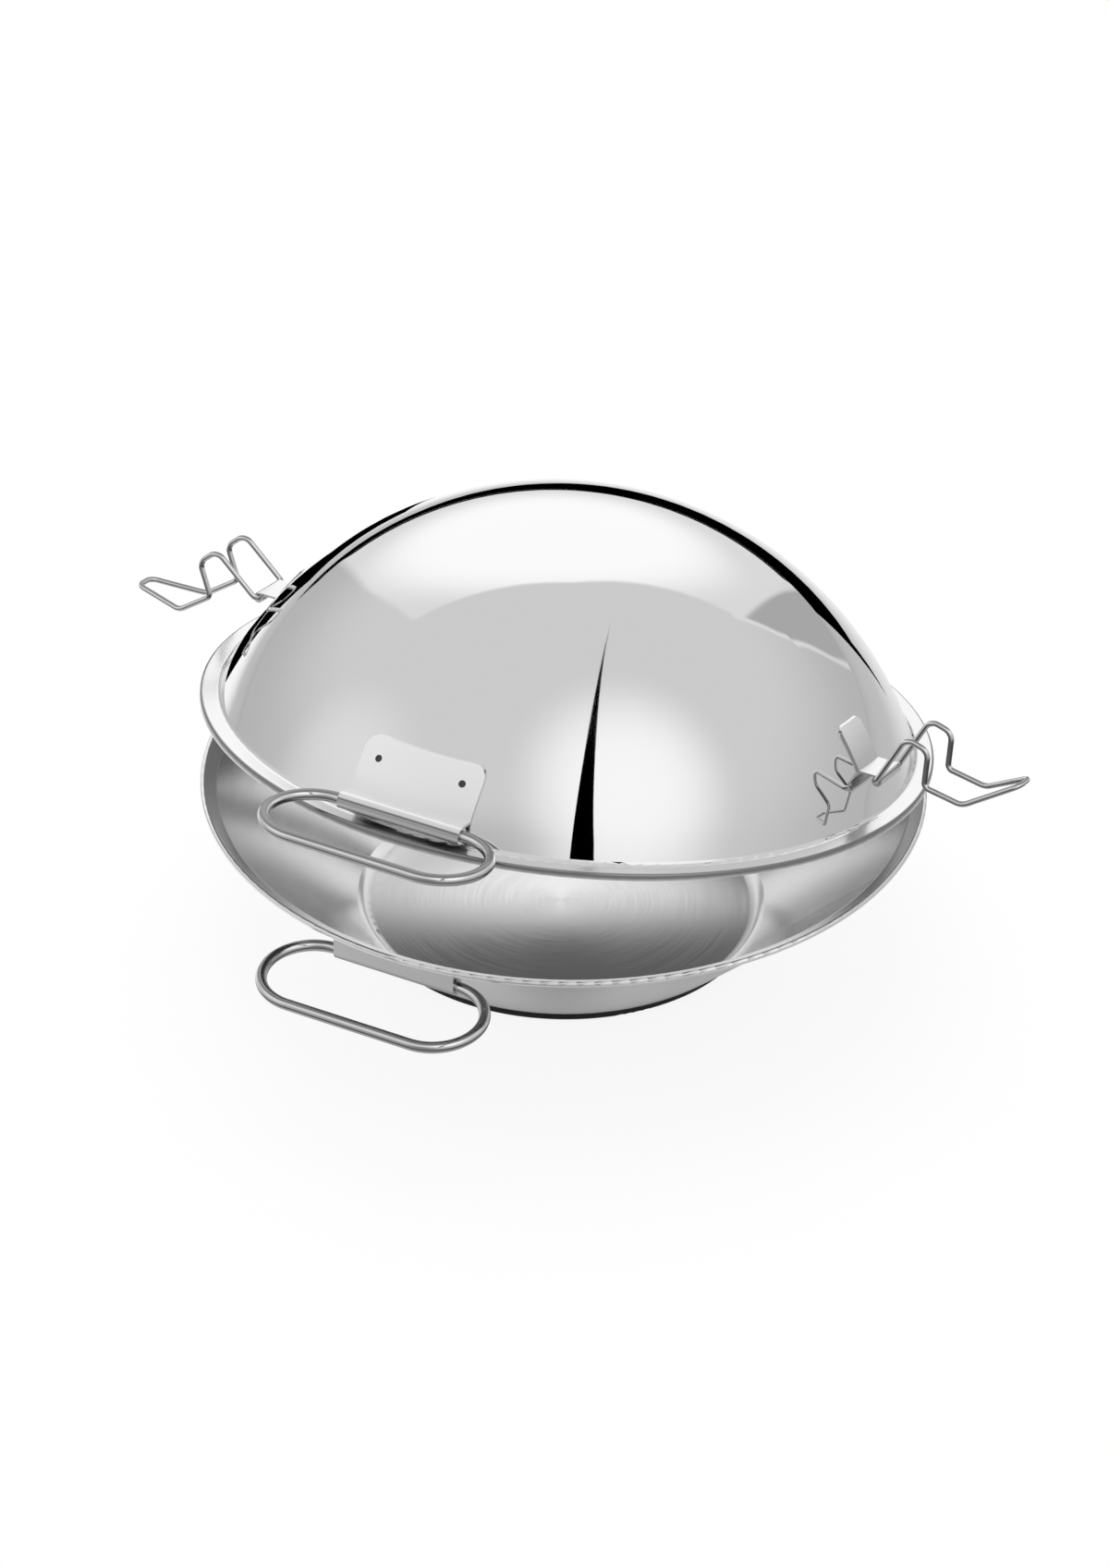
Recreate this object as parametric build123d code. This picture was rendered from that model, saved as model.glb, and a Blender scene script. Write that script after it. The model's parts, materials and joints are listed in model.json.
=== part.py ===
from build123d import *
import os
from math import atan2, cos, degrees, radians, sin, sqrt, tan

# A stainless steel cataplana: a shallow bowl with a capsule base, and a domed lid of the
# same width hinged to it at the back.  Each half has a wire loop handle at the front, and
# two bent-wire clips on the lid hook under the bowl's lip at the sides.
#
# Frame: +Z up, origin at the centre of the base's underside, handles towards -Y,
# hinge towards +Y, clips on +X and -X.  Millimetres and degrees.

# ------------------------------------------------------------ bowl
RIM_RADIUS = 160.0          # outer face of the bowl's turned-down lip
RIM_HEIGHT = 70.0           # top of the bowl's rim above the table
SHEET = 1.0                 # wall of the bowl and of the lid
FLOOR_RADIUS = 88.0         # where the lines of floor and wall would meet, on the inside
FLOOR_CORNER = 9.0          # inside radius between floor and wall
BRIM_WIDTH = 7.0            # radial width of the bowl's sloping brim
BRIM_SLOPE = 26.0           # rise of that brim towards its edge
BRIM_CREASE = 3.0           # radius between wall and brim
LIP_BEND = 0.25             # inside radius where a brim turns down into its lip
BOWL_LIP_STRAIGHT = 0.5     # straight part of the bowl's lip, below that bend

# ------------------------------------------------------------ capsule base
CORE_THICKNESS = 3.0        # aluminium heat-spreading disc
CAP_SHEET = 0.8             # steel cap around it
CAP_RADIUS = 87.0           # outside of the cap
CAP_CORNER = 0.7            # inside radius of the cap's lower edge
CORE_CLEARANCE = 0.15       # between the disc's edge and the cap's wall

# ------------------------------------------------------------ lid
DOME_HEIGHT = 100.0         # top of the spherical dome above the lid's flange plane
FLANGE_WIDTH = 7.9          # from the dome's foot to the lid's edge, in the flange plane
LID_SEAT = 0.3              # closed lid's flange above the bowl's rim
LID_LIP = 2.0               # how far the lid's lip reaches below its flange
LIP_CLEARANCE = 0.5         # between the lid's lip and the bowl's lip
DOME_CREASE = 2.5           # radius between dome and flange
REST_OPENING = 10.0         # how far the lid stands open at rest

# ------------------------------------------------------------ handles
HANDLE_WIRE = 5.0           # wire diameter
HANDLE_DEPTH = 43.0         # from the bar in the tube to the outer bar
HANDLE_STRAIGHT = 59.0      # straight part of each bar
HANDLE_END_FLAT = 0.2       # straight between the two bends at each end
HANDLE_JOINT_GAP = 0.4      # between the wire's two ends, inside the tube
HANDLE_TUBE_LENGTH = 58.0
HANDLE_TUBE_WALL = 1.2
BOWL_HANDLE_DROP = 11.5     # tube axis below the bowl's rim
BOWL_HANDLE_TILT = -4.0     # slope of the loop, up is positive
LID_HANDLE_RISE = 7.4       # tube axis above the lid's flange plane, lid closed
LID_HANDLE_TILT = -3.0
BRIM_PLATE_WIDTH = 90.0     # plate under the brim that carries the bowl's tube
BRIM_PLATE_DROP = 7.0       # its lower edge below the bowl's rim
LID_PLATE_WIDTH = 57.0
LID_PLATE_TOP = 32.0        # top edge above the lid's flange plane
LID_PLATE_CORNER = 6.0
PLATE = 1.2                 # sheet of the handle and hinge plates
WELD_SPACING = 40.0         # between the two spot welds of the lid's plate
WELD_HEIGHT = 24.0          # spot welds above the lid's flange plane
WELD_RADIUS = 1.6
WELD_DEPTH = 0.5

# ------------------------------------------------------------ clips
CLIP_WIRE = 2.5
CLIP_TUBE_LENGTH = 20.0
CLIP_TUBE_WALL = 1.0
CLIP_TUBE_INSET = 7.5       # tube axis inside the bowl's rim
CLIP_TUBE_RISE = 18.0       # tube axis above the lid's flange plane
CLIP_HALF_WIDTH = 12.4      # from the middle plane to each side wire
CLIP_END_GAP = 3.0          # between the wire's two ends, inside the tube
CLIP_PLATE_WIDTH = 19.0
CLIP_PLATE_TOP = 37.0
CLIP_PLATE_CORNER = 3.0
CLIP_PLATE = 1.0
LEFT_CLIP_DROOP = 25.0      # how much lower the left clip hangs at rest

# One side wire of a clip, as (outward, up) from its pivot: over the arch, in to the hook,
# out along the lever to the raised tip, with the bend radius at each corner.
CLIP_CORNERS = [
    ((12.0, 24.6), 5.0),
    ((22.6, 21.4), 5.0),
    ((22.8, 5.0), 2.6),
    ((41.0, 1.8), 7.0),
]
CLIP_TIP = (63.0, 14.8)
CLIP_TIP_HALF_WIDTH = 5.2
CLIP_TIP_BEND = 4.6
CLIP_FOOT_BEND = 2.6        # where the wire turns into the tube

# ------------------------------------------------------------ hinge
HINGE_OFFSET = 7.2          # pin axis outside the bowl's rim
HINGE_PIN_RADIUS = 2.0
HINGE_KNUCKLE_WALL = 1.9
HINGE_MIDDLE = 16.0         # length of the lid's knuckle
HINGE_SIDE = 12.0           # length of each of the bowl's knuckles
HINGE_END_PLAY = 0.3        # between neighbouring knuckles
HINGE_HEAD_RADIUS = 3.2
HINGE_HEAD_THICKNESS = 1.4
HINGE_PLATE_TOP = 20.0      # top edge of the lid's hinge plate
HINGE_PLATE_DROP = 20.0     # lower edge of the bowl's hinge plate below the rim
HINGE_PLATE_CORNER = 3.0

# ------------------------------------------------------------ fits
WELD_GAP = 0.05             # between a welded plate and the shell behind it
WIRE_FIT = 0.06             # radial, wire in its tube
PIN_FIT = 0.05              # radial, pin in the knuckles

# ------------------------------------------------------------ worked out from those
LID_RADIUS = RIM_RADIUS + LIP_CLEARANCE + SHEET
LID_PLANE = RIM_HEIGHT + LID_SEAT               # underside of the closed lid's flange
DOME_FOOT = LID_RADIUS - FLANGE_WIDTH
DOME_RADIUS = (DOME_FOOT ** 2 + DOME_HEIGHT ** 2) / (2 * DOME_HEIGHT)
DOME_CENTRE = DOME_HEIGHT - DOME_RADIUS         # above the lid's flange plane
LIP_TOP_BEND = LIP_BEND + SHEET
FLOOR_TOP = CAP_SHEET + CORE_THICKNESS + SHEET
HINGE_Y = RIM_RADIUS + HINGE_OFFSET
KNUCKLE_RADIUS = HINGE_PIN_RADIUS + PIN_FIT + HINGE_KNUCKLE_WALL
HANDLE_BORE = HANDLE_WIRE / 2 + WIRE_FIT
HANDLE_TUBE_RADIUS = HANDLE_BORE + HANDLE_TUBE_WALL
CLIP_BORE = CLIP_WIRE / 2 + WIRE_FIT
CLIP_TUBE_RADIUS = CLIP_BORE + CLIP_TUBE_WALL
BRIM_RISE = tan(radians(BRIM_SLOPE))
BRIM_CORNER = RIM_HEIGHT + LIP_TOP_BEND * (BRIM_RISE + 1 / cos(radians(BRIM_SLOPE)) - 1)
CREASE_RADIUS = RIM_RADIUS - BRIM_WIDTH
CREASE_HEIGHT = BRIM_CORNER - BRIM_WIDTH * BRIM_RISE
LIP_END = BRIM_CORNER - LIP_TOP_BEND * tan(radians(45 + BRIM_SLOPE / 2)) - BOWL_LIP_STRAIGHT
WALL_SLOPE = degrees(atan2(CREASE_HEIGHT - FLOOR_TOP, CREASE_RADIUS - FLOOR_RADIUS))
BIG = 4 * RIM_RADIUS        # safely larger than anything it trims


# ------------------------------------------------------------ helpers
def profile_face(*edges):
    """Closed outline drawn as (radius, height), standing in the XZ plane."""
    return Plane.XZ * make_face(Curve() + list(edges))


def turned(outline):
    """Body of revolution about the vertical axis."""
    return revolve(outline, Axis.Z)


def rod_x(radius, length, y, z, x=0.0):
    """Round bar along X, centred on x."""
    return Pos(x, y, z) * Rot(0, 90, 0) * Cylinder(radius, length)


def dome_ball(radius):
    return Pos(0, 0, DOME_CENTRE) * Sphere(radius)


def dome_outward(height, radius=DOME_RADIUS):
    """Distance from the axis of a sphere about the dome's centre, at a height."""
    return sqrt(radius ** 2 - (height - DOME_CENTRE) ** 2)


def one_solid(shape):
    return shape.solids().sort_by(SortBy.VOLUME)[-1]


def front_slab(width, low, high, corner):
    """Prism along -Y, with its two upper corners rounded, that trims a plate to shape."""
    face = Rectangle(width, high - low)
    upper = face.vertices().group_by(Axis.Y)[-1]
    face = fillet(upper, corner)
    return extrude(Plane.XZ * Pos(0, (low + high) / 2) * face, BIG)


def dome_plate(width, low, high, corner, sheet):
    """Plate formed to the dome's outside at the front, a weld gap away from it."""
    inner = DOME_RADIUS + WELD_GAP
    shell = dome_ball(inner + sheet) - dome_ball(inner)
    return shell & front_slab(width, low, high, corner)


def tube_plate(width, top, corner, sheet, tube_y, tube_z, tube_radius, tube_length):
    """Plate on the dome whose lower edge bends outward and is rolled into a tube along X."""
    shelf_top = tube_z + tube_radius
    shelf_depth = -tube_y
    shelf = Pos(0, tube_y + shelf_depth / 2, shelf_top - sheet / 2) * Box(width, shelf_depth, sheet)
    shelf = shelf - dome_ball(DOME_RADIUS + WELD_GAP)
    plate = dome_plate(width, shelf_top - sheet, top, corner, sheet)
    tube = rod_x(tube_radius, tube_length, tube_y, tube_z)
    return one_solid(plate + shelf + tube)


def bent_wire(points, radii, diameter):
    """Round wire along straight runs joined by tangent bends."""
    path = FilletPolyline(*points, radius=radii).wire()
    start = Plane(origin=path @ 0, z_dir=path % 0)
    return sweep(start * Circle(diameter / 2), path=path).solid()


# ------------------------------------------------------------ bowl and base
def bowl_line(depth):
    """Floor, wall, brim and lip as one line, at a depth below the bowl's upper surface."""
    corners = [(FLOOR_RADIUS, FLOOR_TOP), (CREASE_RADIUS, CREASE_HEIGHT), (RIM_RADIUS, BRIM_CORNER)]
    slopes = [0.0, WALL_SLOPE, BRIM_SLOPE, -90.0]
    line = [(0, FLOOR_TOP - depth)]
    for (r, z), before, after in zip(corners, slopes, slopes[1:]):
        middle = radians((before + after) / 2)
        reach = depth / cos(radians((after - before) / 2))
        line.append((r + reach * sin(middle), z - reach * cos(middle)))
    line.append((RIM_RADIUS - depth, LIP_END))
    bends = [FLOOR_CORNER + depth, max(BRIM_CREASE - depth, 0), max(LIP_TOP_BEND - depth, 0)]
    return FilletPolyline(*line, radius=bends)


def bowl_outer_radius(z):
    """Radius of the bowl's outer wall at a height."""
    run = SHEET / sin(radians(WALL_SLOPE))
    return CREASE_RADIUS + run - (CREASE_HEIGHT - z) / tan(radians(WALL_SLOPE))


def lower_bowl():
    axis_edge = Line((0, FLOOR_TOP - SHEET), (0, FLOOR_TOP))
    lip_edge = Line((RIM_RADIUS, LIP_END), (RIM_RADIUS - SHEET, LIP_END))
    return turned(profile_face(bowl_line(0), bowl_line(SHEET), axis_edge, lip_edge))


def filled_bowl(gap):
    """The bowl with its inside filled, grown downward by a gap; trims what is welded to it."""
    edge = RIM_RADIUS + WELD_GAP
    top = RIM_HEIGHT + WELD_GAP
    low = LIP_END - WELD_GAP
    inner = RIM_RADIUS - SHEET - gap
    rest = Polyline((inner, LIP_END), (inner, low), (edge, low), (edge, top), (0, top),
                    (0, FLOOR_TOP - SHEET - gap))
    return turned(profile_face(bowl_line(SHEET + gap), rest))


def bowl_plate(width, top, bottom):
    """Plate at the front, formed to the bowl's underside between two heights."""
    skin = filled_bowl(WELD_GAP + PLATE) - filled_bowl(WELD_GAP)
    return skin & Pos(0, -BIG / 2, (top + bottom) / 2) * Box(width, BIG, top - bottom)


def base_core_disc():
    radius = CAP_RADIUS - CAP_SHEET - CORE_CLEARANCE
    disc = Pos(0, 0, CAP_SHEET + CORE_THICKNESS / 2) * Cylinder(radius, CORE_THICKNESS)
    return chamfer(disc.edges().group_by(Axis.Z)[0], CAP_CORNER + CORE_CLEARANCE)


def base_cap():
    height = CAP_SHEET + CORE_THICKNESS
    outside = Pos(0, 0, height / 2) * Cylinder(CAP_RADIUS, height)
    outside = fillet(outside.edges().group_by(Axis.Z)[0], CAP_CORNER + CAP_SHEET)
    inside = Pos(0, 0, CAP_SHEET + height / 2) * Cylinder(CAP_RADIUS - CAP_SHEET, height)
    inside = fillet(inside.edges().group_by(Axis.Z)[0], CAP_CORNER)
    return outside - inside


# ------------------------------------------------------------ lid, drawn closed on z = 0
def lid_bowl():
    inner = DOME_RADIUS - SHEET
    lip_inner = LID_RADIUS - SHEET
    crease = (dome_outward(SHEET), SHEET)
    inner_crease = (dome_outward(0, inner), 0)
    angles = [degrees(atan2(z - DOME_CENTRE, r)) for r, z in (crease, inner_crease)]
    outside = CenterArc((0, DOME_CENTRE), DOME_RADIUS, angles[0], 90 - angles[0])
    inside = CenterArc((0, DOME_CENTRE), inner, angles[1], 90 - angles[1])
    flange = Polyline(crease, (LID_RADIUS, SHEET), (LID_RADIUS, -LID_LIP),
                      (lip_inner, -LID_LIP), (lip_inner, 0), inner_crease)
    axis_edge = Line((0, DOME_HEIGHT - SHEET), (0, DOME_HEIGHT))
    face = make_face(Curve() + [outside, inside, flange, axis_edge])
    bends = [(crease, DOME_CREASE), (inner_crease, DOME_CREASE + SHEET),
             ((LID_RADIUS, SHEET), LIP_TOP_BEND), ((lip_inner, 0), LIP_BEND)]
    for corner, radius in bends:
        vertex = face.vertices().sort_by_distance(Vector(*corner))[0]
        face = fillet(vertex, radius)
    return turned(Plane.XZ * face)


def placed_on_lid(closed_part):
    """From the lid's drawing place to its place at rest, swung open about the hinge pin."""
    raised = Pos(0, 0, LID_PLANE) * closed_part
    hinge = Axis((0, HINGE_Y, LID_PLANE), (1, 0, 0))
    return raised.rotate(hinge, -REST_OPENING)


# ------------------------------------------------------------ handles
def handle_loop(tube_y, tube_z, tilt):
    """Stadium of round wire; its two ends meet inside the tube."""
    half = HANDLE_STRAIGHT / 2 + HANDLE_DEPTH / 2
    end = HANDLE_JOINT_GAP / 2
    corners = [(half, 0), (half, -HANDLE_DEPTH), (-half, -HANDLE_DEPTH), (-half, 0)]
    flat = [(end, 0), *corners, (-end, 0)]
    bend = (HANDLE_DEPTH - HANDLE_END_FLAT) / 2
    loop = bent_wire([(x, y, 0) for x, y in flat], [bend] * len(corners), HANDLE_WIRE)
    return Pos(0, tube_y, tube_z) * Rot(-tilt, 0, 0) * loop


def bowl_tube_place():
    """Axis of the bowl handle's tube: just clear of the sloping wall."""
    z = RIM_HEIGHT - BOWL_HANDLE_DROP
    stand_off = (HANDLE_TUBE_RADIUS + WELD_GAP) / sin(radians(WALL_SLOPE))
    return -(bowl_outer_radius(z) + stand_off), z


def lid_tube_place():
    """Axis of the lid handle's tube: just clear of the dome."""
    reach = DOME_RADIUS + WELD_GAP + HANDLE_TUBE_RADIUS
    return -dome_outward(LID_HANDLE_RISE, reach), LID_HANDLE_RISE


def lower_handle_bracket():
    """Plate under the brim, bent down into a web whose lower edge is rolled into the tube."""
    tube_y, tube_z = bowl_tube_place()
    tube = rod_x(HANDLE_TUBE_RADIUS, HANDLE_TUBE_LENGTH, tube_y, tube_z)
    web_y = tube_y - HANDLE_TUBE_RADIUS + PLATE / 2
    web_height = RIM_HEIGHT - tube_z
    web = Pos(0, web_y, tube_z + web_height / 2) * Box(HANDLE_TUBE_LENGTH, PLATE, web_height)
    plate = bowl_plate(BRIM_PLATE_WIDTH, RIM_HEIGHT, RIM_HEIGHT - BRIM_PLATE_DROP)
    body = tube + (web - filled_bowl(WELD_GAP + PLATE / 2)) + plate
    return one_solid(body - rod_x(HANDLE_BORE, BIG, tube_y, tube_z))


def lid_handle_bracket():
    tube_y, tube_z = lid_tube_place()
    body = tube_plate(LID_PLATE_WIDTH, LID_PLATE_TOP, LID_PLATE_CORNER, PLATE,
                      tube_y, tube_z, HANDLE_TUBE_RADIUS, HANDLE_TUBE_LENGTH)
    body = body - rod_x(HANDLE_BORE, BIG, tube_y, tube_z)
    surface = DOME_RADIUS + WELD_GAP + PLATE
    for x in (-WELD_SPACING / 2, WELD_SPACING / 2):
        y = -sqrt(surface ** 2 - x ** 2 - (WELD_HEIGHT - DOME_CENTRE) ** 2)
        body = body - Pos(x, y, WELD_HEIGHT) * spot_weld(x, y)
    return body


def spot_weld(x, y):
    """Shallow round dimple, pointing at the dome's centre from a spot on its plate."""
    inward = Vector(-x, -y, DOME_CENTRE - WELD_HEIGHT).normalized()
    return Plane(origin=(0, 0, 0), z_dir=inward) * Cylinder(WELD_RADIUS, 2 * WELD_DEPTH)


# ------------------------------------------------------------ clips, drawn at the front
def clip_bracket():
    tube_y = -(RIM_RADIUS - CLIP_TUBE_INSET)
    body = tube_plate(CLIP_PLATE_WIDTH, CLIP_PLATE_TOP, CLIP_PLATE_CORNER, CLIP_PLATE,
                      tube_y, CLIP_TUBE_RISE, CLIP_TUBE_RADIUS, CLIP_TUBE_LENGTH)
    return body - rod_x(CLIP_BORE, BIG, tube_y, CLIP_TUBE_RISE)


def clip_wire(droop):
    """Closed-looking clip of one wire whose two ends turn into the tube."""
    side = [(CLIP_HALF_WIDTH, -out, up) for (out, up), bend in CLIP_CORNERS]
    tip_out, tip_up = CLIP_TIP
    right = [(CLIP_END_GAP / 2, 0, 0), (CLIP_HALF_WIDTH, 0, 0), *side,
             (CLIP_TIP_HALF_WIDTH, -tip_out, tip_up)]
    left = [(-x, y, z) for x, y, z in reversed(right)]
    bends = [CLIP_FOOT_BEND] + [bend for corner, bend in CLIP_CORNERS] + [CLIP_TIP_BEND]
    wire = bent_wire(right + left, bends + bends[::-1], CLIP_WIRE)
    return Pos(0, -(RIM_RADIUS - CLIP_TUBE_INSET), CLIP_TUBE_RISE) * Rot(droop, 0, 0) * wire


# ------------------------------------------------------------ hinge, drawn at the front
def knuckle(length, x):
    return rod_x(KNUCKLE_RADIUS, length, -HINGE_Y, 0, x)


def pin_bore():
    return rod_x(HINGE_PIN_RADIUS + PIN_FIT, BIG, -HINGE_Y, 0)


def hinge_leaf_lid():
    body = tube_plate(HINGE_MIDDLE, HINGE_PLATE_TOP, HINGE_PLATE_CORNER, PLATE,
                      -HINGE_Y, 0, KNUCKLE_RADIUS, HINGE_MIDDLE)
    return body - pin_bore()


def hinge_leaf_lower():
    """Plate along the bowl's wall that turns out under the lip to two knuckles."""
    width = HINGE_MIDDLE + 2 * (HINGE_END_PLAY + HINGE_SIDE)
    centre = (HINGE_MIDDLE + HINGE_SIDE) / 2 + HINGE_END_PLAY
    shelf_top = LID_PLANE + PLATE - KNUCKLE_RADIUS
    shelf = Pos(0, -HINGE_Y / 2, shelf_top - PLATE / 2) * Box(width, HINGE_Y, PLATE)
    knuckles = Pos(0, 0, LID_PLANE) * (knuckle(HINGE_SIDE, centre) + knuckle(HINGE_SIDE, -centre))
    notch_reach = 2 * (KNUCKLE_RADIUS + HINGE_END_PLAY)
    notch = Pos(0, -HINGE_Y, 0) * Box(HINGE_MIDDLE + 2 * HINGE_END_PLAY, notch_reach, BIG)
    body = (shelf - notch - filled_bowl(WELD_GAP + PLATE / 2)) + knuckles
    body = body + bowl_plate(width, shelf_top, RIM_HEIGHT - HINGE_PLATE_DROP)
    return one_solid(body - Pos(0, 0, LID_PLANE) * pin_bore())


def hinge_pin():
    """Pin with a head formed on each end."""
    reach = HINGE_MIDDLE / 2 + HINGE_END_PLAY + HINGE_SIDE + HINGE_END_PLAY
    pin = rod_x(HINGE_PIN_RADIUS, 2 * reach, HINGE_Y, LID_PLANE)
    for side in (-1, 1):
        x = side * (reach + HINGE_HEAD_THICKNESS / 2)
        pin = pin + rod_x(HINGE_HEAD_RADIUS, HINGE_HEAD_THICKNESS, HINGE_Y, LID_PLANE, x)
    return pin


# ------------------------------------------------------------ the assembly
def build():
    bowl_tube_y, bowl_tube_z = bowl_tube_place()
    lid_tube_y, lid_tube_z = lid_tube_place()
    back, right, left = Rot(0, 0, 180), Rot(0, 0, 90), Rot(0, 0, -90)
    return {
        "lower_bowl": lower_bowl(),
        "base_core_disc": base_core_disc(),
        "base_cap": base_cap(),
        "lower_handle_bracket": lower_handle_bracket(),
        "lower_handle_loop": handle_loop(bowl_tube_y, bowl_tube_z, BOWL_HANDLE_TILT),
        "hinge_leaf_lower": back * hinge_leaf_lower(),
        "hinge_pin": hinge_pin(),
        "lid_bowl": placed_on_lid(lid_bowl()),
        "lid_handle_bracket": placed_on_lid(lid_handle_bracket()),
        "lid_handle_loop": placed_on_lid(handle_loop(lid_tube_y, lid_tube_z, LID_HANDLE_TILT)),
        "hinge_leaf_lid": placed_on_lid(back * hinge_leaf_lid()),
        "right_clip_bracket": placed_on_lid(right * clip_bracket()),
        "right_clip_wire": placed_on_lid(right * clip_wire(0)),
        "left_clip_bracket": placed_on_lid(left * clip_bracket()),
        "left_clip_wire": placed_on_lid(left * clip_wire(LEFT_CLIP_DROOP)),
    }


def main():
    os.makedirs("parts", exist_ok=True)
    for name, shape in build().items():
        export_step(shape, f"parts/{name}.step")


main()
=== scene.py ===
import json
from math import cos, radians, sin

import bpy
from mathutils import Matrix, Vector

# A polished steel cataplana on a white table.  The lid is a mirror, so most of what it
# shows is the studio around it: a leaning white panel, a grey canopy and dark gaps.
# Metres throughout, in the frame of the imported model.

STRAIGHT_UP = (0.0, 0.0, 1.0)
WHITE = (1.0, 1.0, 1.0, 1.0)

# ------------------------------------------------------------ camera
AZIMUTH = 27.3              # degrees, from straight ahead towards the right clip
ELEVATION = 33.0
ROLL = 1.2
DISTANCE = 3.0
LENS = 156.1                # millimetres, on the long side below
SENSOR_SIDE = 36.0
FARTHEST = 50.0             # nothing beyond this is drawn
AIM_HEIGHT = 0.060
AIM_RIGHT = -0.0040         # how far the picture's centre lies off the pan's axis
AIM_UP = 0.0053

# ------------------------------------------------------------ the pan, as modelled
DOME_CENTRE = Vector((0.0, -0.0093, 0.0324))
PLATE_MIDDLE = 0.16860      # plates on the dome, from its centre, to the middle of the sheet
PLATE_REACH = 0.0010        # and how far to either side a plate's surface can lie
WELD_MIDDLE = 0.16850       # floors of the weld dimples, from the dome's centre
WELD_REACH = 0.0004
FLANGE_PLACE = (0.1682, 0.1688)     # the lid's flange starts here, from the dome's centre
LIP_PLACE = (0.1742, 0.1750)        # the lid's turned lip, from the same centre
CREASE_RADIUS = 0.153       # inner edge of the bowl's brim
CREASE_BLEND = 0.001
CAP_SHADE_PLACE = (0.0034, 0.0038)       # heights where the painted shade on the cap's lower edge ends
EDGE_ANGLE = 50.0           # sharper edges than this stay crisp

# ------------------------------------------------------------ finishes
# Plain colour and roughness of each metal, where its textures aren't used.
PLAIN_METALS = {
    "mirror_steel": ((0.90, 0.90, 0.90), 0.03),
    "satin_bowl": ((0.90, 0.90, 0.90), 0.30),
    "satin_sheet": ((0.95, 0.95, 0.95), 0.30),
    "bright_wire": ((0.80, 0.80, 0.80), 0.12),
    "turned_cap": ((0.50, 0.50, 0.51), 0.30),
    "bare_aluminium": ((0.78, 0.78, 0.80), 0.40),
}
# Lowest and highest roughness.
LID_OUTSIDE = (0.018, 0.045)
LID_INSIDE = (0.24, 0.36)
BOWL_SATIN = (0.13, 0.22)
PLATE_SATIN = (0.28, 0.36)
WIRE_POLISH = (0.08, 0.18)
CAP_TURNED = (0.24, 0.42)
ALUMINIUM_SATIN = (0.35, 0.50)
FLANGE_ROUGHNESS = 0.20
BRIM_ROUGHNESS = 0.22
# The spans of each noise pattern that those values are spread over.
NOISE_MIDDLE = (0.3, 0.7)
HAZE_SPAN = (0.35, 0.75)
BOWL_SPAN = (0.3, 1.0)
WIRE_SPAN = (0.5, 1.0)
BOWL_CLOUD = 0.35           # share of a coarse cloud added to the bowl's fine rings
WIRE_CLOUD = 0.5            # and to the wire's fine scuffs
LID_TURNS_IN = (-0.01, 0.0)         # metres outward: below 0 a lid's face looks in
LID_GREY = 0.90
LIP_PAINTED_SHADE = 0.30             # painted shade, darker grey on the lid's turned lip, which sits on the bowl
BRUSHED = 0.6               # how far the bowl's highlights are drawn out
PLATE_GRAIN = (60.0, 2200.0, 2200.0)        # brushing runs along x
PLATE_LIGHT_FACING = (0.50, 0.66)         # painted light: plates lighten as they face up more, between these
PLATE_LIGHT_LEVELS = (0.62, 0.96)
PLATE_METAL = 0.45          # the rest of a plate is matt and light
SQUARE_ON = 0.9             # a plate's faces look away from the dome's centre
DIMPLE_GREY = 0.06
CAP_TURNS_UP = (-0.95, -0.70)       # from the cap's underside to its side
UNDERSIDE_GREY = 0.45
# Painted shade on the cap's side: its grey along the lower edge, and above it.
CAP_SHADE_LEVELS = (0.04, 0.90)
# Painted reflections on rolled tubes and on wire: greys from faces that look down, -1, to faces
# that look up, 1.
TUBE_PAINTED_REFLECTIONS = [(-1.0, 0.80), (-0.5, 0.45), (0.0, 0.62), (0.45, 0.66), (0.62, 0.20),
              (0.78, 0.92), (1.0, 0.95)]
WIRE_PAINTED_REFLECTIONS = [(-1.0, 0.25), (-0.5, 0.52), (-0.15, 0.45), (0.1, 0.08), (0.35, 0.72),
              (0.7, 0.95), (0.9, 0.28)]

# ------------------------------------------------------------ the canopy
# Directions are (azimuth, elevation) in degrees: 0 is straight ahead, 90 the right clip's
# side, 180 the hinge's side.  The canopy is a sphere seen only in reflections.
CANOPY_RADIUS = 5.0
CANOPY_LOW = 0.50           # its grey at the horizon
CANOPY_HIGH = 0.66          # and from the height below up
CANOPY_RISE = 0.6           # as a share of its radius
PANEL = [(-131, -1), (-116, 25), (-104, 46), (-127, 55), (-158, 57), (163, 32), (-176, -2)]
PANEL_SOFT = 0.016          # half the width of its blurred edge, in radians
PANEL_MIDDLE = (-151, 33)   # its brightest place
PANEL_SPREAD = 39           # degrees from there to where it is dim
PANEL_FALL = (0.1, 0.9)     # the part of that fall-off that is used
PANEL_BRIGHT = 1.06
PANEL_DIM = 0.76
DARK_SIDE = [(-176, -3), (164, 33), (162, 20), (166, 5), (178, -16)]
DARK_SIDE_SOFT = 0.02
DARK_SIDE_GREY = 0.42
DARK_SIDE_RIM = 1.0         # 4 times the light that a line round the dark side adds
GAP = [(-127, -9), (-132, 0), (-176, 0), (180, -20), (-150, -30)]
GAP_SOFT = 0.006
# Soft places: middle, degrees from there to the edge, and how much lighter or darker.
SOFT_PLACES = [((61, 51), 38, 0.36), ((-56, 26), 30, 0.12), ((5, 12), 40, -0.30)]
SOFT_POWER = 1.5            # higher draws the lightness in towards the middle

# ------------------------------------------------------------ table and cards
BLACK = 0.0
TABLE_RADIUS = 3.0          # the table ends here in reflections
TABLE_ROUGHNESS = 0.8
# Painted pool of light on the table: brightest here, fading with distance.
TABLE_BRIGHT_PLACE = (-0.32, 0.15, 0.0)
TABLE_FADE = (0.20, 0.72)   # distances from there where it starts and ends to fade
TABLE_WHITE = 0.92
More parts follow.
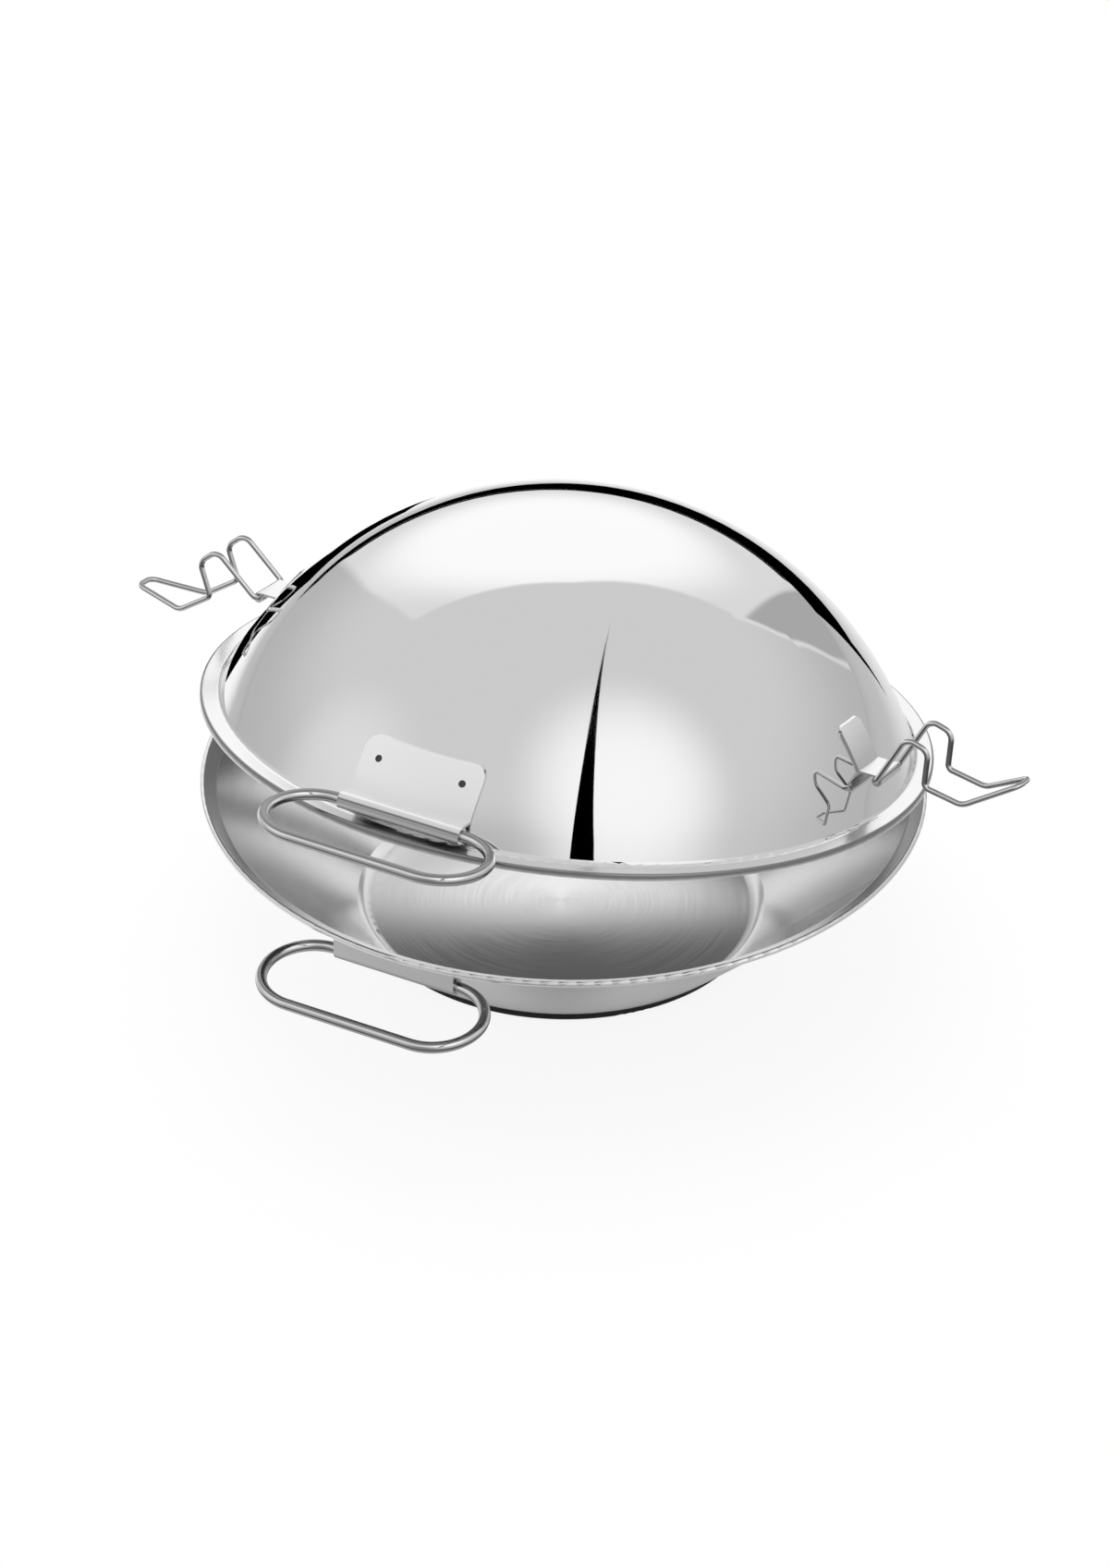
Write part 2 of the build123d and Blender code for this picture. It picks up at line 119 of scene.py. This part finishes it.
# Soft shades beside the base, in reflections: middle and reach.
TABLE_SHADES = [((0.056, -0.108, 0.0), 0.045), ((0.130, -0.055, 0.0), 0.055)]
TABLE_SHADE_SHARE = 0.55    # how much of its white is left in their middles
CAMERA_SHARE = 0.88         # how much of the table's white is its own, to the camera
GLOSSY_SHARE = 0.32         # and in reflections
SURROUND_SIZE = 12.0
FLOOR_DROP = 0.0006         # surround just under the table top
LIFT = 0.0008               # cards that lie on the table
TABLE_GAP = [(0.115, 0.40), (0.08, 0.68), (-0.30, 0.74), (-0.85, 1.02), (-1.60, 1.05),
             (-2.40, 1.80), (-1.20, 2.75), (0.10, 3.00)]
STRIP = [(-0.25, 0.12), (-0.36, 0.32), (-0.21, 0.28), (-0.45, 0.52), (-0.83, 0.62),
         (-0.41, 0.13)]
WEDGE_HEIGHT = 1.5          # a dark tapering slit in the ceiling
WEDGE_TIP = Vector((0.08, 0.57))
WEDGE_BEND = Vector((0.42, -0.42))
WEDGE_END = Vector((1.335, -1.75))
WEDGE_WIDTH = 0.33
WEDGE_STEPS = 16

# ------------------------------------------------------------ the light inside the bowl
INNER_HEIGHT = 0.0715       # of the card that the bowl's inside reflects
INNER_RADIUS = 0.138
INNER_DIM = 0.10
INNER_BRIGHT = 1.0
INNER_ACROSS = (-0.518, 0.855, 0.0)     # the light comes up from this side
INNER_RISE = (0.056, 0.108)             # and grows between these places across the card
INNER_MIDDLE = (-0.045, 0.100, 0.0)
INNER_REACH = (0.025, 0.150)            # it dims between these distances from there
INNER_LEFT = 0.35                       # to this share of its strength

# ------------------------------------------------------------ light
WORLD_LIGHT = 0.75          # on surfaces; to the camera and in mirrors it is 1
LAMP_PLACE = Vector((-0.5, 0.6, 2.0))
LAMP_SIZE = 1.6
LAMP_POWER = 18.0           # watts


# ------------------------------------------------------------ node helpers
def new_material(name):
    """A fresh node material with one Principled shader."""
    material = bpy.data.materials.new(name)
    material.use_nodes = True
    tree = material.node_tree
    return material, tree, tree.nodes["Principled BSDF"]


def add(tree, kind, **settings):
    """A new node with some of its settings."""
    node = tree.nodes.new(kind)
    for key, value in settings.items():
        setattr(node, key, value)
    return node


def math_node(tree, operation, first, second=None, third=None):
    node = add(tree, "ShaderNodeMath", operation=operation)
    for index, value in enumerate((first, second, third)):
        if value is None:
            continue
        if isinstance(value, (int, float)):
            node.inputs[index].default_value = value
        else:
            tree.links.new(value, node.inputs[index])
    return node.outputs[0]


def vector_node(tree, operation, first, second=None, output="Vector"):
    node = add(tree, "ShaderNodeVectorMath", operation=operation)
    for index, value in enumerate((first, second)):
        if value is None:
            continue
        if isinstance(value, (tuple, Vector)):
            node.inputs[index].default_value = value
        else:
            tree.links.new(value, node.inputs[index])
    return node.outputs[output]


def dot(tree, vector, way):
    """How far a vector goes along a direction."""
    return vector_node(tree, "DOT_PRODUCT", vector, way, output="Value")


def length(tree, vector):
    return vector_node(tree, "LENGTH", vector, output="Value")


def distance_to(tree, position, place):
    return length(tree, vector_node(tree, "SUBTRACT", position, place))


def object_position(tree):
    return add(tree, "ShaderNodeTexCoord").outputs["Object"]


def object_normal(tree):
    return add(tree, "ShaderNodeTexCoord").outputs["Normal"]


def upward(tree):
    """How far a surface faces up, from -1 to 1."""
    return dot(tree, object_normal(tree), STRAIGHT_UP)


def noise(tree, vector, scale, detail=3.0, roughness=0.55):
    node = add(tree, "ShaderNodeTexNoise")
    node.inputs["Scale"].default_value = scale
    node.inputs["Detail"].default_value = detail
    node.inputs["Roughness"].default_value = roughness
    tree.links.new(vector, node.inputs["Vector"])
    return node.outputs["Fac"]


def remap(tree, value, low, high, to_low, to_high):
    """Smooth change from one level to another as a value goes from low to high."""
    node = add(tree, "ShaderNodeMapRange")
    node.interpolation_type = "SMOOTHSTEP"
    tree.links.new(value, node.inputs["Value"])
    limits = {"From Min": low, "From Max": high, "To Min": to_low, "To Max": to_high}
    for key, number in limits.items():
        node.inputs[key].default_value = number
    return node.outputs["Result"]


def blend(tree, mask, below, above):
    """From below to above as the mask goes from 0 to 1."""
    return math_node(tree, "MULTIPLY_ADD", mask, math_node(tree, "SUBTRACT", above, below), below)


def grey(tree, level):
    """A grey colour of a varying level."""
    node = add(tree, "ShaderNodeCombineColor")
    for channel in ("Red", "Green", "Blue"):
        tree.links.new(level, node.inputs[channel])
    return node.outputs["Color"]


def stops(tree, value, levels):
    """Piecewise smooth curve through (value, level) pairs, values from -1 to 1."""
    node = add(tree, "ShaderNodeValToRGB")
    ramp = node.color_ramp
    ramp.interpolation = "EASE"
    while len(ramp.elements) < len(levels):
        ramp.elements.new(0.5)
    for element, (place, level) in zip(ramp.elements, levels):
        element.position = (place + 1) / 2
        element.color = (level, level, level, 1.0)
    tree.links.new(math_node(tree, "MULTIPLY_ADD", value, 0.5, 0.5), node.inputs["Fac"])
    return node.outputs["Color"]


def bump(tree, shader, height, strength, distance):
    node = add(tree, "ShaderNodeBump")
    node.inputs["Strength"].default_value = strength
    node.inputs["Distance"].default_value = distance
    tree.links.new(height, node.inputs["Height"])
    tree.links.new(node.outputs["Normal"], shader.inputs["Normal"])


def distance_from_axis(tree, position):
    """The level part of a position, and its length."""
    flat = vector_node(tree, "MULTIPLY", position, (1.0, 1.0, 0.0))
    return flat, length(tree, flat)


def ring_position(tree, turns, rings):
    """Coordinates that are long round the vertical axis and short across it."""
    position = object_position(tree)
    flat, radius = distance_from_axis(tree, position)
    way_out = vector_node(tree, "NORMALIZE", flat)
    around = vector_node(tree, "MULTIPLY", way_out, (turns, turns, 0.0))
    height = dot(tree, position, STRAIGHT_UP)
    across = math_node(tree, "MULTIPLY", math_node(tree, "ADD", radius, height), rings)
    combined = add(tree, "ShaderNodeCombineXYZ")
    tree.links.new(across, combined.inputs["Z"])
    return vector_node(tree, "ADD", around, combined.outputs["Vector"])


def metal(name):
    """A metal with its plain colour and roughness, for a pattern to be added."""
    material, tree, shader = new_material(name)
    colour, roughness = PLAIN_METALS[name]
    shader.inputs["Base Color"].default_value = (*colour, 1.0)
    shader.inputs["Metallic"].default_value = 1.0
    shader.inputs["Roughness"].default_value = roughness
    return material, tree, shader


# ------------------------------------------------------------ materials
def mirror_steel():
    """Lid: mirror outside with a trace of polishing haze, satin on the inside, and painted shade
    darkening its turned lip.
    """
    material, tree, shader = metal("mirror_steel")
    position = object_position(tree)
    outward = vector_node(tree, "SUBTRACT", position, DOME_CENTRE)
    facing = dot(tree, outward, object_normal(tree))
    inside = remap(tree, facing, *LID_TURNS_IN, 1.0, 0.0)
    haze = noise(tree, position, scale=14.0, detail=5.0)
    haze = remap(tree, haze, *HAZE_SPAN, *LID_OUTSIDE)
    rings = noise(tree, ring_position(tree, turns=2.0, rings=900.0), scale=1.0)
    satin = remap(tree, rings, *NOISE_MIDDLE, *LID_INSIDE)
    away = length(tree, outward)
    rim = remap(tree, away, *FLANGE_PLACE, 0.0, FLANGE_ROUGHNESS)
    polish = math_node(tree, "MAXIMUM", blend(tree, inside, haze, satin), rim)
    tree.links.new(polish, shader.inputs["Roughness"])
    waves = noise(tree, position, scale=5.0, detail=1.0)
    bump(tree, shader, waves, strength=0.02, distance=0.002)
    # Painted shade: the turned lip goes from the lid's grey to a dark grey.
    lip = remap(tree, away, *LIP_PLACE, LID_GREY, LIP_PAINTED_SHADE)
    tree.links.new(grey(tree, lip), shader.inputs["Base Color"])
    return material


def satin_bowl():
    """Bowl: circular brushed satin inside and below, its brim polished."""
    material, tree, shader = metal("satin_bowl")
    fine = ring_position(tree, turns=1.4, rings=1800.0)
    rings = noise(tree, fine, scale=1.0, roughness=0.6)
    cloud = noise(tree, object_position(tree), scale=18.0, detail=4.0)
    both = math_node(tree, "MULTIPLY_ADD", cloud, BOWL_CLOUD, rings)
    satin = remap(tree, both, *BOWL_SPAN, *BOWL_SATIN)
    radius = distance_from_axis(tree, object_position(tree))[1]
    crease = (CREASE_RADIUS - CREASE_BLEND, CREASE_RADIUS + CREASE_BLEND)
    brim = remap(tree, radius, *crease, 0.0, 1.0)
    tree.links.new(blend(tree, brim, satin, BRIM_ROUGHNESS), shader.inputs["Roughness"])
    shader.inputs["Anisotropic"].default_value = BRUSHED
    tangent = add(tree, "ShaderNodeTangent", direction_type="RADIAL", axis="Z")
    tree.links.new(tangent.outputs["Tangent"], shader.inputs["Tangent"])
    bump(tree, shader, rings, strength=0.025, distance=0.0002)
    return material


def satin_sheet():
    """Brackets, plates and hinge leaves: finely brushed bright sheet, dark weld dimples, painted
    reflection bands on the tubes and painted light on plates that face up.
    """
    material, tree, shader = metal("satin_sheet")
    position = object_position(tree)
    lines = noise(tree, vector_node(tree, "MULTIPLY", position, PLATE_GRAIN), scale=1.0)
    tree.links.new(remap(tree, lines, *NOISE_MIDDLE, *PLATE_SATIN), shader.inputs["Roughness"])
    bump(tree, shader, lines, strength=0.008, distance=0.0001)
    outward = vector_node(tree, "SUBTRACT", position, DOME_CENTRE)
    way_out = vector_node(tree, "NORMALIZE", outward)
    away = length(tree, outward)
    facing = dot(tree, way_out, object_normal(tree))
    square = math_node(tree, "GREATER_THAN", facing, SQUARE_ON)
    dimple = math_node(tree, "COMPARE", away, WELD_MIDDLE, WELD_REACH)
    dimple = math_node(tree, "MULTIPLY", dimple, square)
    plate = math_node(tree, "COMPARE", away, PLATE_MIDDLE, PLATE_REACH)
    plate = math_node(tree, "MULTIPLY", plate, square)
    # Painted reflections: the tubes' greys follow which way each face looks.
    rolled = stops(tree, upward(tree), TUBE_PAINTED_REFLECTIONS)
    # Painted light: plates are lighter the more they face up.
    flat = remap(tree, upward(tree), *PLATE_LIGHT_FACING, *PLATE_LIGHT_LEVELS)
    level = blend(tree, plate, rolled, flat)
    level = blend(tree, dimple, level, DIMPLE_GREY)
    tree.links.new(grey(tree, level), shader.inputs["Base Color"])
    tree.links.new(blend(tree, plate, 1.0, PLATE_METAL), shader.inputs["Metallic"])
    return material


def bright_wire():
    """Handles, clips and hinge pin: drawn wire, polished, with dark and bright bands of painted
    reflection.
    """
    material, tree, shader = metal("bright_wire")
    position = object_position(tree)
    scuffs = noise(tree, position, scale=260.0, detail=5.0)
    cloud = noise(tree, position, scale=40.0)
    both = math_node(tree, "MULTIPLY_ADD", cloud, WIRE_CLOUD, scuffs)
    tree.links.new(remap(tree, both, *WIRE_SPAN, *WIRE_POLISH), shader.inputs["Roughness"])
    bump(tree, shader, scuffs, strength=0.05, distance=0.0001)
    # Painted reflections: dark and bright bands by which way each face looks.
    tree.links.new(stops(tree, upward(tree), WIRE_PAINTED_REFLECTIONS), shader.inputs["Base Color"])
    return material


def turned_cap():
    """Cap of the capsule base: turned rings, with painted shade darkening its lower edge."""
    material, tree, shader = metal("turned_cap")
    rings = noise(tree, ring_position(tree, turns=1.5, rings=2600.0), scale=1.0)
    tree.links.new(remap(tree, rings, *NOISE_MIDDLE, *CAP_TURNED), shader.inputs["Roughness"])
    bump(tree, shader, rings, strength=0.10, distance=0.0002)
    height = dot(tree, object_position(tree), STRAIGHT_UP)
    side = remap(tree, upward(tree), *CAP_TURNS_UP, 0.0, 1.0)
    # Painted shade: the cap's side is near black along its lower edge.
    cap_edge_shade = remap(tree, height, *CAP_SHADE_PLACE, *CAP_SHADE_LEVELS)
    level = blend(tree, side, UNDERSIDE_GREY, cap_edge_shade)
    tree.links.new(grey(tree, level), shader.inputs["Base Color"])
    return material


def bare_aluminium():
    """The disc inside the base: plain rolled sheet."""
    material, tree, shader = metal("bare_aluminium")
    speckle = noise(tree, object_position(tree), scale=900.0, detail=2.0)
    satin = remap(tree, speckle, *NOISE_MIDDLE, *ALUMINIUM_SATIN)
    tree.links.new(satin, shader.inputs["Roughness"])
    return material


def shade_by_angle(node):
    """Smooth over bends and crisp at edges."""
    node.data.shade_smooth()
    node.data.set_sharp_from_angle(angle=radians(EDGE_ANGLE))


def dress(frame):
    """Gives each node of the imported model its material, by the record's slot."""
    finishes = {
        "bowl_steel": satin_bowl(),
        "lid_steel": mirror_steel(),
        "cap_steel": turned_cap(),
        "plate_steel": satin_sheet(),
        "wire_steel": bright_wire(),
        "core_aluminium": bare_aluminium(),
    }
    for part in frame["record"]["subparts"]:
        node = frame["nodes"][part["node"]]
        node.data.materials.clear()
        node.data.materials.append(finishes[part["material_slot"]])
        shade_by_angle(node)


# ------------------------------------------------------------ stage
def flat_mesh(name, points):
    """One polygon through the given points."""
    mesh = bpy.data.meshes.new(name)
    mesh.from_pydata([tuple(p) for p in points], [], [tuple(range(len(points)))])
    stage_piece = bpy.data.objects.new(name, mesh)
    bpy.context.scene.collection.objects.link(stage_piece)
    return stage_piece


def only_reflected(stage_piece):
    """Seen in reflections and nowhere else; lights and shades nothing."""
    stage_piece.visible_camera = False
    stage_piece.visible_diffuse = False
    stage_piece.visible_transmission = False
    stage_piece.visible_shadow = False


def glow(name):
    """A material that only gives light, black until its strength is linked."""
    material = bpy.data.materials.new(name)
    material.use_nodes = True
    tree = material.node_tree
    tree.nodes.clear()
    emission = add(tree, "ShaderNodeEmission")
    emission.inputs["Strength"].default_value = BLACK
    output = add(tree, "ShaderNodeOutputMaterial")
    tree.links.new(emission.outputs["Emission"], output.inputs["Surface"])
    return material, tree, emission


def card(name, outline, height):
    """A level black card, seen only in reflections."""
    stage_piece = flat_mesh(name, [(x, y, height) for x, y in outline])
    stage_piece.data.materials.append(glow(name)[0])
    only_reflected(stage_piece)


def table_material():
    """White table: mostly its own white to the camera, so that only a soft shadow shows.

    In reflections it is white near the pan and fades towards the canopy's grey: a painted pool of
    light, with painted shades beside the base.
    """
    material, tree, shader = new_material("table_white")
    shader.inputs["Roughness"].default_value = TABLE_ROUGHNESS
    path = add(tree, "ShaderNodeLightPath")
    seen = path.outputs["Is Camera Ray"]
    position = object_position(tree)
    away = distance_to(tree, position, TABLE_BRIGHT_PLACE)
    fade = remap(tree, away, *TABLE_FADE, TABLE_WHITE, CANOPY_LOW)
    for middle, reach in TABLE_SHADES:
        away = distance_to(tree, position, middle)
        share = remap(tree, away, 0.0, reach, TABLE_SHADE_SHARE, 1.0)
        fade = math_node(tree, "MULTIPLY", fade, share)
    level = blend(tree, seen, fade, 1.0)
    tree.links.new(grey(tree, level), shader.inputs["Base Color"])
    white = add(tree, "ShaderNodeEmission")
    tree.links.new(level, white.inputs["Strength"])
    share = math_node(tree, "MULTIPLY", seen, CAMERA_SHARE)
    share = math_node(tree, "MULTIPLY_ADD", path.outputs["Is Glossy Ray"], GLOSSY_SHARE, share)
    mix = add(tree, "ShaderNodeMixShader")
    tree.links.new(share, mix.inputs["Fac"])
    tree.links.new(shader.outputs["BSDF"], mix.inputs[1])
    tree.links.new(white.outputs["Emission"], mix.inputs[2])
    tree.links.new(mix.outputs["Shader"], tree.nodes["Material Output"].inputs["Surface"])
    return material


def build_table():
    """The table itself, and a wider surround that reflections don't see."""
    white = table_material()
    bpy.ops.mesh.primitive_circle_add(vertices=96, radius=TABLE_RADIUS, fill_type="NGON")
    table = bpy.context.active_object
    table.name = "table"
    half = SURROUND_SIZE / 2
    square = [(-half, -half), (half, -half), (half, half), (-half, half)]
    surround = flat_mesh("surround", [(x, y, -FLOOR_DROP) for x, y in square])
    surround.visible_glossy = False
    for stage_piece in (table, surround):
        stage_piece.data.materials.append(white)


def direction(place):
    """Unit vector towards an (azimuth, elevation) place."""
    azimuth, elevation = (radians(angle) for angle in place)
    return Vector((sin(azimuth) * cos(elevation), -cos(azimuth) * cos(elevation), sin(elevation)))


def patch(tree, toward, corners, soft):
    """1 inside a convex patch of the canopy, fading to 0 across its soft edges."""
    ways = [direction(corner) for corner in corners]
    middle = sum(ways, Vector()).normalized()
    mask = None
    for first, second in zip(ways, ways[1:] + ways[:1]):
        across = first.cross(second).normalized()
        if across.dot(middle) < 0:
            across.negate()
        edge = remap(tree, dot(tree, toward, across), -soft, soft, 0.0, 1.0)
        mask = edge if mask is None else math_node(tree, "MULTIPLY", mask, edge)
    return mask


def nearness(tree, toward, place, spread):
    """1 at a place of the canopy, falling to 0 at an angle from it."""
    closeness = dot(tree, toward, direction(place))
    return remap(tree, closeness, cos(radians(spread)), 1.0, 0.0, 1.0)


def build_canopy():
    """Grey sphere with a leaning white panel, a dark side, a dark gap and soft places."""
    bpy.ops.mesh.primitive_uv_sphere_add(segments=64, ring_count=32, radius=CANOPY_RADIUS)
    canopy = bpy.context.active_object
    canopy.name = "canopy"
    only_reflected(canopy)
    material, tree, emission = glow("canopy")
    toward = vector_node(tree, "NORMALIZE", object_position(tree))
    height = dot(tree, toward, STRAIGHT_UP)
    level = remap(tree, height, 0.0, CANOPY_RISE, CANOPY_LOW, CANOPY_HIGH)
    for place, spread, change in SOFT_PLACES:
        near = math_node(tree, "POWER", nearness(tree, toward, place, spread), SOFT_POWER)
        level = math_node(tree, "MULTIPLY_ADD", near, change, level)
    dark = patch(tree, toward, DARK_SIDE, DARK_SIDE_SOFT)
    rim = math_node(tree, "MULTIPLY", dark, math_node(tree, "SUBTRACT", 1.0, dark))
    level = blend(tree, dark, level, DARK_SIDE_GREY)
    level = math_node(tree, "MULTIPLY_ADD", rim, DARK_SIDE_RIM, level)
    near = nearness(tree, toward, PANEL_MIDDLE, PANEL_SPREAD)
    white = remap(tree, near, *PANEL_FALL, PANEL_DIM, PANEL_BRIGHT)
    level = blend(tree, patch(tree, toward, PANEL, PANEL_SOFT), level, white)
    level = blend(tree, patch(tree, toward, GAP, GAP_SOFT), level, BLACK)
    tree.links.new(level, emission.inputs["Strength"])
    canopy.data.materials.append(material)


def wedge_outline():
    """A slit whose width grows with the square of the way along its bent middle line."""
    left, right = [], []
    for step in range(WEDGE_STEPS + 1):
        t = step / WEDGE_STEPS
        middle = WEDGE_TIP * (1 - t) ** 2 + WEDGE_BEND * (2 * t * (1 - t)) + WEDGE_END * t ** 2
        along = (WEDGE_BEND - WEDGE_TIP) * (1 - t) + (WEDGE_END - WEDGE_BEND) * t
        across = Vector((along.y, -along.x)).normalized() * (WEDGE_WIDTH / 2 * t ** 2)
        left.append(middle - across)
        right.append(middle + across)
    return left + right[::-1]


def build_cards():
    """Two dark cards on the table and a dark slit overhead."""
    card("table_gap", TABLE_GAP, LIFT)
    card("strip", STRIP, LIFT)
    card("wedge", wedge_outline(), WEDGE_HEIGHT)


def build_inner_light():
    """Disc over the bowl, seen only in reflections from below: light from under the lid."""
    bpy.ops.mesh.primitive_circle_add(vertices=96, radius=INNER_RADIUS, fill_type="NGON")
    disc = bpy.context.active_object
    disc.name = "inner_light"
    disc.location.z = INNER_HEIGHT
    only_reflected(disc)
    material, tree, emission = glow("inner_light")
    position = object_position(tree)
    rising = remap(tree, dot(tree, position, INNER_ACROSS), *INNER_RISE, 0.0, INNER_BRIGHT)
    away = distance_to(tree, position, INNER_MIDDLE)
    share = remap(tree, away, *INNER_REACH, 1.0, INNER_LEFT)
    level = math_node(tree, "MAXIMUM", math_node(tree, "MULTIPLY", rising, share), INNER_DIM)
    tree.links.new(level, emission.inputs["Strength"])
    clear = add(tree, "ShaderNodeBsdfTransparent")
    mix = add(tree, "ShaderNodeMixShader")
    side = add(tree, "ShaderNodeNewGeometry").outputs["Backfacing"]
    tree.links.new(side, mix.inputs["Fac"])
    tree.links.new(clear.outputs["BSDF"], mix.inputs[1])
    tree.links.new(emission.outputs["Emission"], mix.inputs[2])
    tree.links.new(mix.outputs["Shader"], tree.nodes["Material Output"].inputs["Surface"])
    disc.data.materials.append(material)


def build_light():
    """An even white room and one large soft lamp overhead."""
    world = bpy.data.worlds.new("studio")
    bpy.context.scene.world = world
    world.use_nodes = True
    tree = world.node_tree
    path = add(tree, "ShaderNodeLightPath")
    seen = math_node(tree, "MAXIMUM", path.outputs["Is Camera Ray"], path.outputs["Is Glossy Ray"])
    seen = math_node(tree, "MAXIMUM", seen, path.outputs["Is Transmission Ray"])
    background = tree.nodes["Background"]
    background.inputs["Color"].default_value = WHITE
    tree.links.new(remap(tree, seen, 0.0, 1.0, WORLD_LIGHT, 1.0), background.inputs["Strength"])
    lamp = bpy.data.lights.new("softbox", "AREA")
    lamp.shape = "DISK"
    lamp.size = LAMP_SIZE
    lamp.energy = LAMP_POWER
    holder = bpy.data.objects.new("softbox", lamp)
    holder.location = LAMP_PLACE
    holder.rotation_euler = (-LAMP_PLACE).to_track_quat("-Z", "Y").to_euler()
    holder.visible_glossy = False
    bpy.context.scene.collection.objects.link(holder)


# ------------------------------------------------------------ camera
def build_camera():
    """Looks at the pan from the photographed side, rolled a little."""
    azimuth, roll = radians(AZIMUTH), radians(ROLL)
    back = direction((AZIMUTH, ELEVATION))
    right = Vector((cos(azimuth), sin(azimuth), 0.0))
    up = back.cross(right)
    target = Vector((0.0, 0.0, AIM_HEIGHT)) + right * AIM_RIGHT + up * AIM_UP
    side = right * cos(roll) + up * sin(roll)
    top = up * cos(roll) - right * sin(roll)
    camera = bpy.data.cameras.new("camera")
    camera.lens = LENS
    camera.sensor_width = SENSOR_SIDE
    camera.clip_end = FARTHEST
    holder = bpy.data.objects.new("camera", camera)
    turned = Matrix((side, top, back)).transposed().to_4x4()
    holder.matrix_world = Matrix.Translation(target + back * DISTANCE) @ turned
    bpy.context.scene.collection.objects.link(holder)
    bpy.context.scene.camera = holder


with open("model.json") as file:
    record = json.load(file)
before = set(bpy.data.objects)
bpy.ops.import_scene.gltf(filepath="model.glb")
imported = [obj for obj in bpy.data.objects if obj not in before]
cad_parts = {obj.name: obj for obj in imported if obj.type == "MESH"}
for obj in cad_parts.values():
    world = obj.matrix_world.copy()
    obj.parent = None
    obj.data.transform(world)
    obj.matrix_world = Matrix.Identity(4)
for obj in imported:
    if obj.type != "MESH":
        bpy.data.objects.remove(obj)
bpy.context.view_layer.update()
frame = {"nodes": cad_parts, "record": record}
dress(frame)
build_table()
build_canopy()
build_cards()
build_inner_light()
build_light()
build_camera()
bpy.context.scene.view_settings.view_transform = "Standard"
